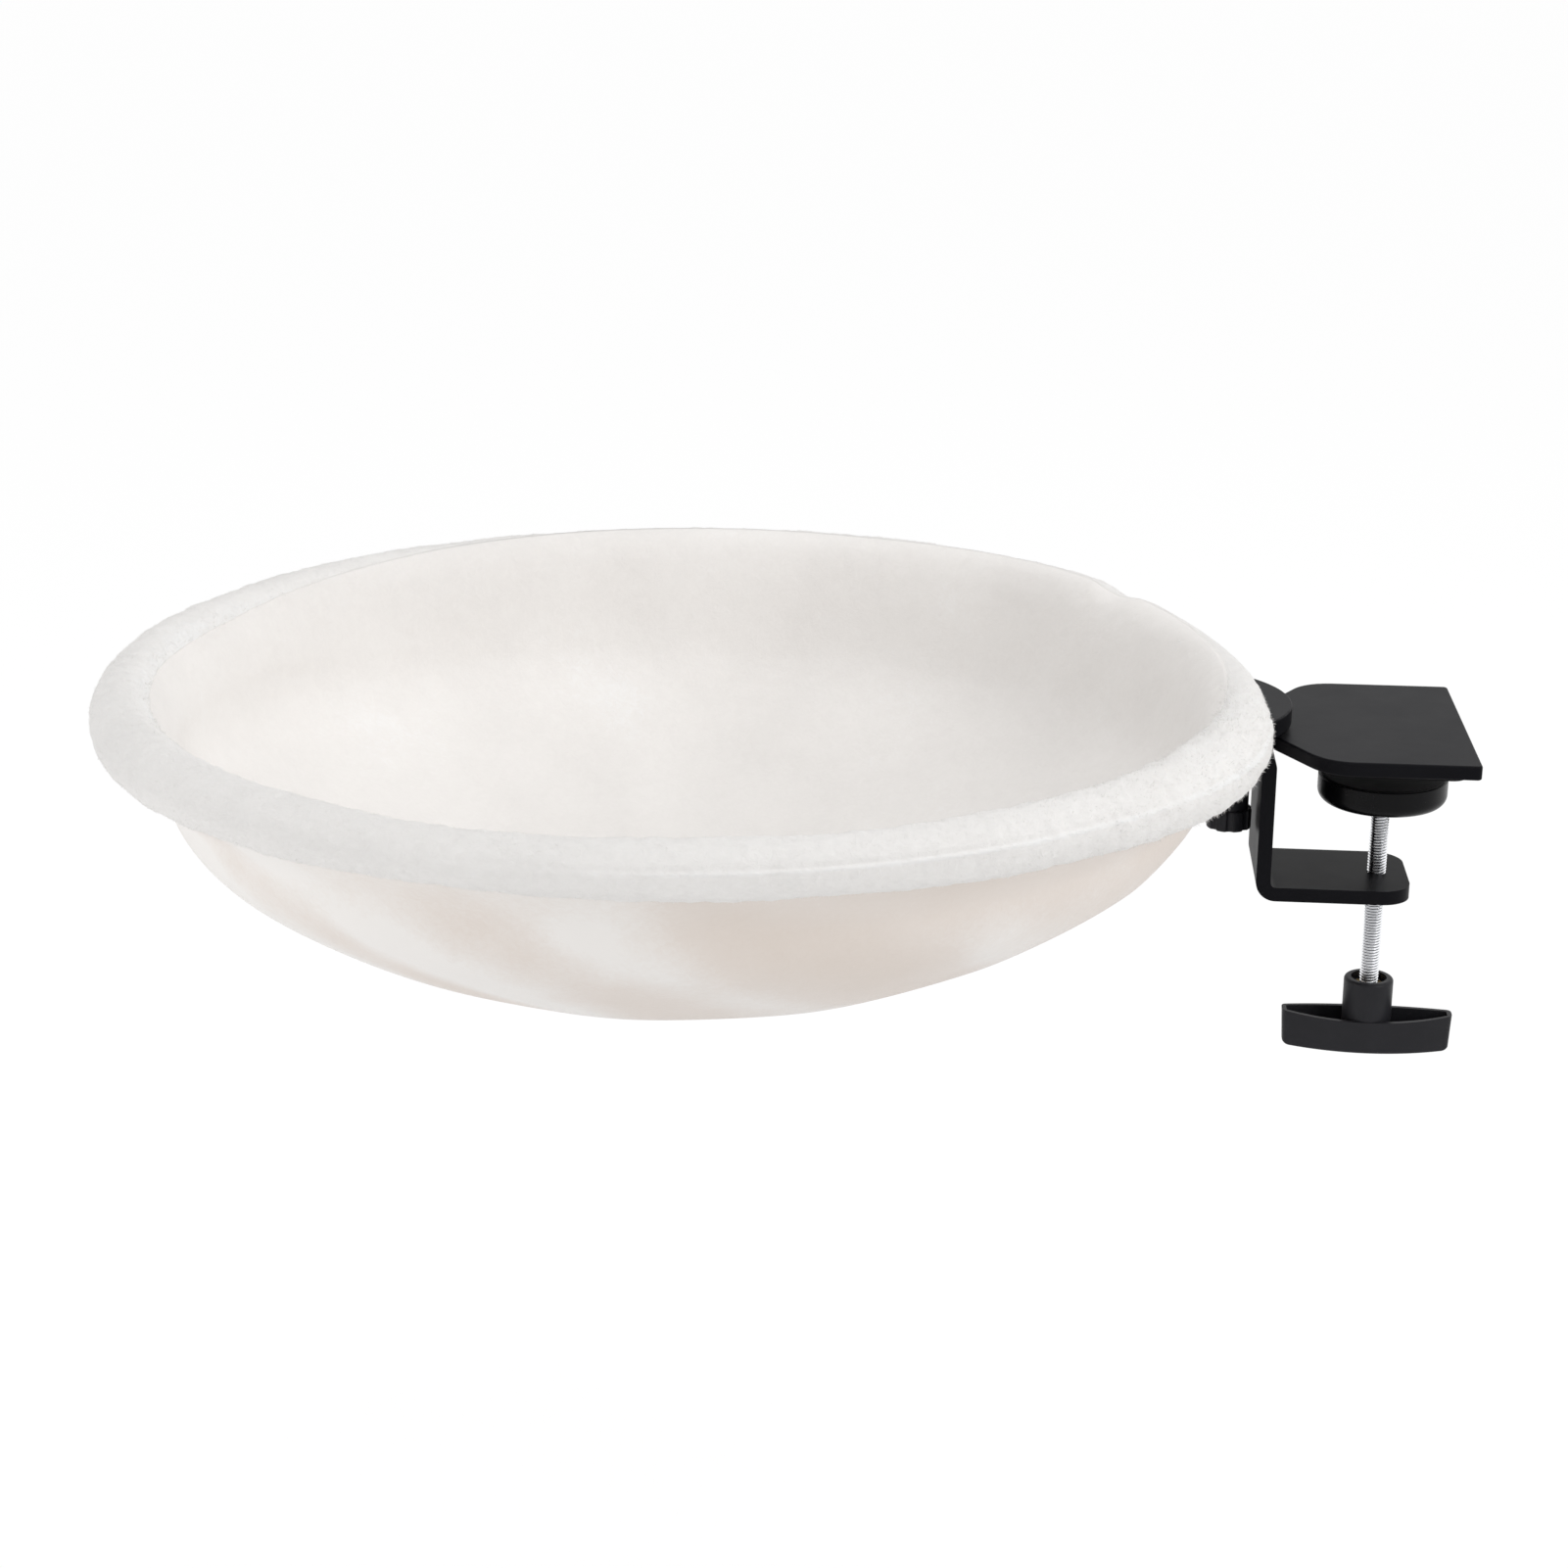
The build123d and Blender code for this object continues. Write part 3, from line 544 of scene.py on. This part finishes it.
fibre_points, fibre_faces = [], []
for k in range(fibre_count):
    turn = draw.uniform(0, tau)
    side = draw.uniform(*fibre_sides)
    foot, pale = rim_point(turn, side)
    out = (foot - hoop_point(turn, hoop_radius, hoop_height)).normalized()
    outwards = hoop_point(turn, 1, 0) - hoop_point(turn, 0, 0)
    along = Vector((-outwards.y, outwards.x, 0))
    lean = drawn_lean(foot, lean_seed)
    droop = drawn_lean(foot, droop_seed)
    growth = 1 + bell_sum(turn, fibre_growth)
    growth += crease_growth * crease_share(turn) * hump(side, edge_side, edge_spread / 2)
    length = fibre_length * draw.uniform(*fibre_length_shares) * growth
    way = (out * fibre_rise + along * lean + out.cross(along) * droop).normalized()
    first = way.cross(out + along * spike_twist).normalized() * fibre_width
    second = way.cross(first).normalized() * fibre_width
    root = foot - out * fibre_sink
    base = len(fibre_points)
    fibre_points += [root + first * a + second * b for a, b in spike_corner_shares]
    fibre_points.append(root + way * length)
    fibre_faces += [tuple(base + corner for corner in face) for face in spike_faces]
rim_pile = mesh_object("rim_pile", fibre_points, fibre_faces, rim_plush)
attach(rim_pile, "hammock")

# Bowl's wall: shares of its radius and depth from the hoop's height down to the floor's centre
radius_share = (1.0, 0.998, 0.953, 0.836, 0.669, 0.46, 0.283, 0.14, 0.0)
depth_share = (0.0, 0.256, 0.427, 0.598, 0.769, 0.905, 0.973, 1.0, 1.0)
last_place = len(radius_share) - 1
bowl_top_radius = hoop_radius - roll_radius
bowl_turns = 540
wall_steps = 110
hidden_sink = 4 * mm
place_step = 0.01
place_nudge = 0.05


def line_at(shares, place):
    """Catmull-Rom line through the shares, at a place counted in shares."""
    ends = [2 * shares[0] - shares[1], *shares, 2 * shares[-1] - shares[-2]]
    k = min(int(place), len(shares) - 2)
    t = place - k
    a, b, c, d = ends[k:k + 4]
    linear, square, cubic = c - a, 2 * a - 5 * b + 4 * c - d, 3 * b - a - 3 * c + d
    return 0.5 * (2 * b + linear * t + square * t * t + cubic * t ** 3)


def wall_place(place, inset):
    """Reach and height on the bowl's wall, moved inwards by an inset."""
    reach = (bowl_top_radius - inset) * max(0.0, line_at(radius_share, place))
    return reach, hoop_height - (bowl_depth - inset) * max(0.0, line_at(depth_share, place))


def wall_places(first, last, inset, steps):
    """Places on the wall from the first to the last, in equal steps."""
    return [wall_place(mix(first, last, i / steps), inset) for i in range(steps + 1)]


def place_at_drop(drop):
    """Place on the wall that lies a drop below the hoop's height."""
    place = 0.0
    while line_at(depth_share, place) * bowl_depth < drop:
        place += place_step
    return place


def towards(start, target, length):
    """The place a length away from the start, towards a target."""
    share = length / math.hypot(target[0] - start[0], target[1] - start[1])
    return tuple(a + (b - a) * share for a, b in zip(start, target))


def curve(start, lead, trail, end, steps):
    """Points of a cubic curve in reach and height, without its end."""
    points = []
    for i in range(steps):
        t = i / steps
        u = 1 - t
        points.append(tuple(u ** 3 * a + 3 * u * u * t * b + 3 * u * t * t * c + t ** 3 * d
                            for a, b, c, d in zip(start, lead, trail, end)))
    return points


def curve_into_wall(start, lead, place, inset, trail_length, steps):
    """A curve that leaves its start along the lead and runs smoothly into the wall at a place."""
    end = wall_place(place, inset)
    trail = towards(end, wall_place(place - place_nudge, inset), trail_length)
    return curve(start, lead, trail, end, steps)


# Folds of the cloth: broad ridges and a finer wave, both slanting down the wall
fold_slant = 0.85
fold_fade = 70 * mm
fade_power = 0.6
ridge_height = 0.62
ridge_top = 1.08
ridge_softness = 0.06
fine_height = 0.4


def fold_wave(turn, slant, count, phase, sway, sway_count):
    return math.sin(count * slant + phase + sway * math.sin(sway_count * turn))


def fold_rise(turn, depth):
    """Soft slanting folds of the outer cloth, fading out at the rim and the floor."""
    fade = math.sin(math.pi * min(1.0, max(0.0, depth))) ** fade_power
    slant = turn - depth * fold_slant
    ridge = fold_wave(turn, slant, count=7, phase=1.9, sway=0.7, sway_count=2)
    fine = fold_wave(turn, slant, count=11, phase=4.0, sway=0.9, sway_count=3)
    ridge = ridge_top - math.sqrt(ridge * ridge + ridge_softness)
    return fade * (ridge_height * (2 * ridge - 1) + fine_height * fine)


# Plush lining. Each pair says how it is where it runs over the roll, and where it meets it in a crease.
lining_side = (math.radians(93), math.radians(152))
lining_lift = (1.0 * mm, 0.15 * mm)
lining_lead = (17 * mm, 5 * mm)
lining_trail = (18 * mm, 9 * mm)
lining_drop = (44 * mm, 20 * mm)
crease_levels = 20
side_nudge = 0.1
lining_inset = 2.2 * mm
lining_thick = 5 * mm
lining_back_steps = 20
lining_places = [place_at_drop(mix(*lining_drop, i / crease_levels)) for i in range(crease_levels + 1)]

# Its soft face, which lies between the lumps of the rim and the smoother floor
blend_steps = wall_steps / 4
face_aim = hoop_height + 40 * mm
soft_height = 0.4 * mm
soft_scale, small_soft_scale = 60, 170
soft_seed, small_soft_seed = 4.4, 9.2
small_soft_share = 0.7
sag_height = 1.1 * mm
sag_turn = 1.3


def lining_profile(turn):
    """Reach and height down the lining's face to the floor's centre, and back up behind it."""
    crease = crease_share(turn)
    side = mix(*lining_side, crease)
    lift = mix(*lining_lift, crease)
    start = roll_place(turn, side, lift)
    lead = towards(start, roll_place(turn, side + side_nudge, lift), mix(*lining_lead, crease))
    place = lining_places[round(crease * crease_levels)]
    face_inset = lining_inset + lining_thick
    fill_steps = wall_steps // 4
    fill = curve_into_wall(start, lead, place, face_inset, mix(*lining_trail, crease), fill_steps)
    wall = wall_places(place, last_place, face_inset, wall_steps - fill_steps - 1)
    back = wall_places(last_place, place, lining_inset, lining_back_steps)
    return [roll_place(turn, side, -hidden_sink), *fill, *wall, *back]


def lining_rise(point, turn, reach, step):
    """How far the lining's face stands proud of its profile."""
    small = small_soft_share * wobble(point, small_soft_scale, small_soft_seed)
    soft = soft_height * (wobble(point, soft_scale, soft_seed) + small)
    sag = sag_height * fold_rise(turn + sag_turn, min(1.0, step / wall_steps))
    sag *= min(1.0, reach / fold_fade) ** 2
    return mix(swell(point) + pile(point), soft + sag, min(1.0, (step - 1) / blend_steps))


def lining_mesh():
    columns = []
    for j in range(bowl_turns):
        turn = tau * j / bowl_turns
        column = []
        for step, (reach, height) in enumerate(lining_profile(turn)):
            point = hoop_point(turn, reach, height)
            if 0 < step <= wall_steps:
                inwards = (hoop_point(turn, 0, face_aim) - point).normalized()
                point += inwards * lining_rise(point, turn, reach, step)
            column.append(point)
        columns.append(column)
    obj = ring_mesh("plush_lining", list(zip(*columns)), bowl_plush)
    close_poles(obj)
    return obj


lining = lining_mesh()
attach(lining, "hammock")
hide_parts("bowl_liner")

# Outer cloth: out of the roll's underside, down the wall and back up its inner face
cloth_inset = 0.3 * mm
cloth_thick = 1.2 * mm
cloth_side = math.radians(-84)
cloth_sink = 0.2 * mm
cloth_lead = (-4.5 * mm, -4 * mm)
cloth_trail = 8 * mm
cloth_place = place_at_drop(30 * mm)
cloth_fill_steps = 16
cloth_back_steps = 40
cloth_fold_height = 1.0 * mm
# Painted light: the cloth paler on one side, 160 degrees round from the clamp's side
painted_side_light = ((1.1, -160, 60),)


def cloth_profile(turn):
    """Reach and height down the cloth's outer face to the floor's centre, and back up inside it."""
    start = roll_place(turn, cloth_side, -cloth_sink)
    lead = tuple(a + b for a, b in zip(start, cloth_lead))
    fill = curve_into_wall(start, lead, cloth_place, cloth_inset, cloth_trail, cloth_fill_steps)
    wall = wall_places(cloth_place, last_place, cloth_inset, wall_steps - cloth_fill_steps - 1)
    back = wall_places(last_place, cloth_place, cloth_inset + cloth_thick, cloth_back_steps)
    inner_fill = [(reach - cloth_thick, height) for reach, height in fill[::-1]]
    return [roll_place(turn, cloth_side, -hidden_sink), *fill, *wall, *back, *inner_fill]


def shell_mesh():
    columns, tones = [], []
    for j in range(bowl_turns):
        turn = tau * j / bowl_turns
        column, tone = [], []
        for step, (reach, height) in enumerate(cloth_profile(turn)):
            fold = fold_rise(turn, min(1.0, max(0.0, (hoop_height - height) / bowl_depth)))
            rise = cloth_fold_height * fold * min(1.0, reach / fold_fade) if step > 0 else 0.0
            column.append(hoop_point(turn, reach + rise, height))
            # The cloth's tone: painted highlight and shade along the folds, and painted light on one side
            tone.append(fold + bell_sum(turn, painted_side_light))
        columns.append(column)
        tones.append(tone)
    obj = ring_mesh("outer_shell", list(zip(*columns)), shell_fabric())
    add_values(obj, "fold", [value for row in zip(*tones) for value in row])
    close_poles(obj)
    return obj


shell = shell_mesh()
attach(shell, "hammock")
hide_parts("bowl_shell")

# Clamp screw with its real thread, its neck and the button that the pad holds
neck_radius = 3 * mm
neck_height = 1.9 * mm
button_radius = 5 * mm
button_height = 2 * mm
button_edge = 0.4 * mm
neck_edge = 0.2 * mm
end_dome = 0.3 * mm
end_dome_share = 0.2
screw_sides = 40
thread_fade = 2 * thread_pitch
thread_profile_share = (0.0, 0.0, 0.2, 0.6, 1.0, 1.0, 0.6, 0.2)


def screw_point(turn, radius, height):
    return Vector((radius * math.cos(turn), radius * math.sin(turn), height))


def thread_points(low, high, stations):
    """Sections of a single-start thread, one for each station round its helix."""
    points = []
    for station in range(stations):
        for m, cut in enumerate(thread_profile_share):
            height = low + thread_pitch * (station / screw_sides - 1 + m / len(thread_profile_share))
            height = min(max(height, low), high)
            fade = min(1.0, (height - low) / thread_fade, (high - height) / thread_fade)
            radius = screw_radius - thread_depth * (cut * fade + (1 - fade))
            points.append(screw_point(tau * station / screw_sides, radius, height))
    return points


def thread_faces(stations):
    """Faces between the sections; the last point of each meets the section a whole turn later."""
    steps = len(thread_profile_share)
    faces = []
    for station in range(stations - screw_sides - 1):
        here, ahead = station * steps, (station + 1) * steps
        for m in range(steps):
            rise = m + 1 if m < steps - 1 else screw_sides * steps
            faces.append((here + m, ahead + m, ahead + rise, here + rise))
    return faces


def threaded_screw(name, low, high, material):
    """A single-start thread on a core, with flat ends, and the neck and button above it."""
    stations = int((high - low) / thread_pitch * screw_sides) + screw_sides
    points, faces = thread_points(low, high, stations), thread_faces(stations)
    core = screw_radius - thread_depth
    neck_top = high + neck_height
    button_top = neck_top + button_height
    tip = [(end_dome_share * core, low - end_dome), (core, low)]
    stem = [(core, high), (neck_radius, high + neck_edge), (neck_radius, neck_top),
            (button_radius, neck_top + neck_edge), (button_radius, button_top - button_edge),
            (button_radius - button_edge, button_top)]
    for outline in (tip, stem):
        base = len(points)
        points += [screw_point(tau * i / screw_sides, radius, height)
                   for radius, height in outline for i in range(screw_sides)]
        rings = [range(base + k * screw_sides, base + (k + 1) * screw_sides) for k in range(len(outline))]
        for lower, upper in zip(rings, rings[1:]):
            for i in range(screw_sides):
                j = (i + 1) % screw_sides
                faces.append((lower[i], lower[j], upper[j], upper[i]))
        faces.append(tuple(rings[0])[::-1] if outline is tip else tuple(rings[-1]))
    obj = mesh_object(name, points, faces, material)
    work = bmesh.new()
    work.from_mesh(obj.data)
    bmesh.ops.remove_doubles(work, verts=work.verts, dist=weld_distance)
    bmesh.ops.dissolve_degenerate(work, dist=weld_distance, edges=work.edges)
    loose = [v for v in work.verts if not v.link_faces]
    bmesh.ops.delete(work, geom=loose, context="VERTS")
    bmesh.ops.recalc_face_normals(work, faces=work.faces)
    work.to_mesh(obj.data)
    work.free()
    return obj


thread_top = screw_high[2] - neck_height - button_height
screw = threaded_screw("threaded_screw", screw_low[2] + end_dome, thread_top, thread_zinc())
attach(screw, "screw")
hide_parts("clamp_screw")

# Lamps, backdrop, floor and camera
lamp_target = Vector((-0.25, -0.05, 0.0))


def area_light(name, place, size, power):
    light = bpy.data.lights.new(name, "AREA")
    light.shape = "DISK"
    light.size = size
    light.energy = power
    lamp = add_object(name, light)
    lamp.location = place
    lamp.rotation_euler = (lamp_target - Vector(place)).to_track_quat("-Z", "Y").to_euler()


area_light("top_softbox", place=(0.1, 0.1, 1.6), size=1.6, power=11)
area_light("left_low", place=(-1.4, -0.8, -0.05), size=1.0, power=5.5)
area_light("right_key", place=(1.25, -1.0, 0.7), size=1.0, power=9.8)


def white_world(light_strength):
    """A world that is white where it is seen, and lights the object at a strength of its own."""
    world = bpy.data.worlds.new("studio")
    world.use_nodes = True
    tree = world.node_tree
    ambient = tree.nodes["Background"]
    set_inputs(tree, ambient, {"Color": white, "Strength": light_strength})
    backdrop = add_node(tree, "Background", {"Color": white, "Strength": 1.0})
    parts = {0: seen_directly(tree), 1: ambient.outputs[0], 2: backdrop.outputs[0]}
    surface = add_node(tree, "MixShader", parts).outputs[0]
    set_inputs(tree, tree.nodes["World Output"], {"Surface": surface})
    return world


bpy.context.scene.world = white_world(light_strength=0.56)


def white_floor(glow_strength, glow_share):
    """A pale floor that glows a little where it is seen, so that it stays white and keeps its shadow."""
    mat, tree, shader = new_material("floor_white")
    set_inputs(tree, shader, {"Base Color": (0.9, 0.9, 0.9, 1), "Roughness": 0.9})
    glow = add_node(tree, "Emission", {"Strength": glow_strength})
    share = combine(tree, "MULTIPLY", seen_directly(tree), glow_share)
    surface = add_node(tree, "MixShader", {0: share, 1: shader.outputs[0], 2: glow.outputs[0]}).outputs[0]
    set_inputs(tree, tree.nodes["Material Output"], {"Surface": surface})
    return mat


floor_height = -0.34
floor_half = 30.0
corner_signs = ((-1, -1), (1, -1), (1, 1), (-1, 1))
floor_corners = [(x * floor_half, y * floor_half, floor_height) for x, y in corner_signs]
floor_finish = white_floor(glow_strength=1.06, glow_share=0.86)
studio_floor = mesh_object("studio_floor", floor_corners, [(0, 1, 2, 3)], floor_finish)

camera_data = bpy.data.cameras.new("camera")
camera_data.sensor_width = sensor_mm
camera_data.lens = photo_focal_px / photo_side_px * sensor_mm
camera = add_object("camera", camera_data)
camera.location = camera_place
yaw = Euler((0, 0, math.radians(camera_azimuth))).to_matrix()
tilt = Euler((math.radians(90 - camera_pitch), 0, 0)).to_matrix()
roll = Euler((0, 0, math.radians(camera_roll))).to_matrix()
camera.rotation_euler = (yaw @ tilt @ roll).to_euler()
bpy.context.scene.camera = camera
bpy.context.scene.view_settings.view_transform = "Standard"
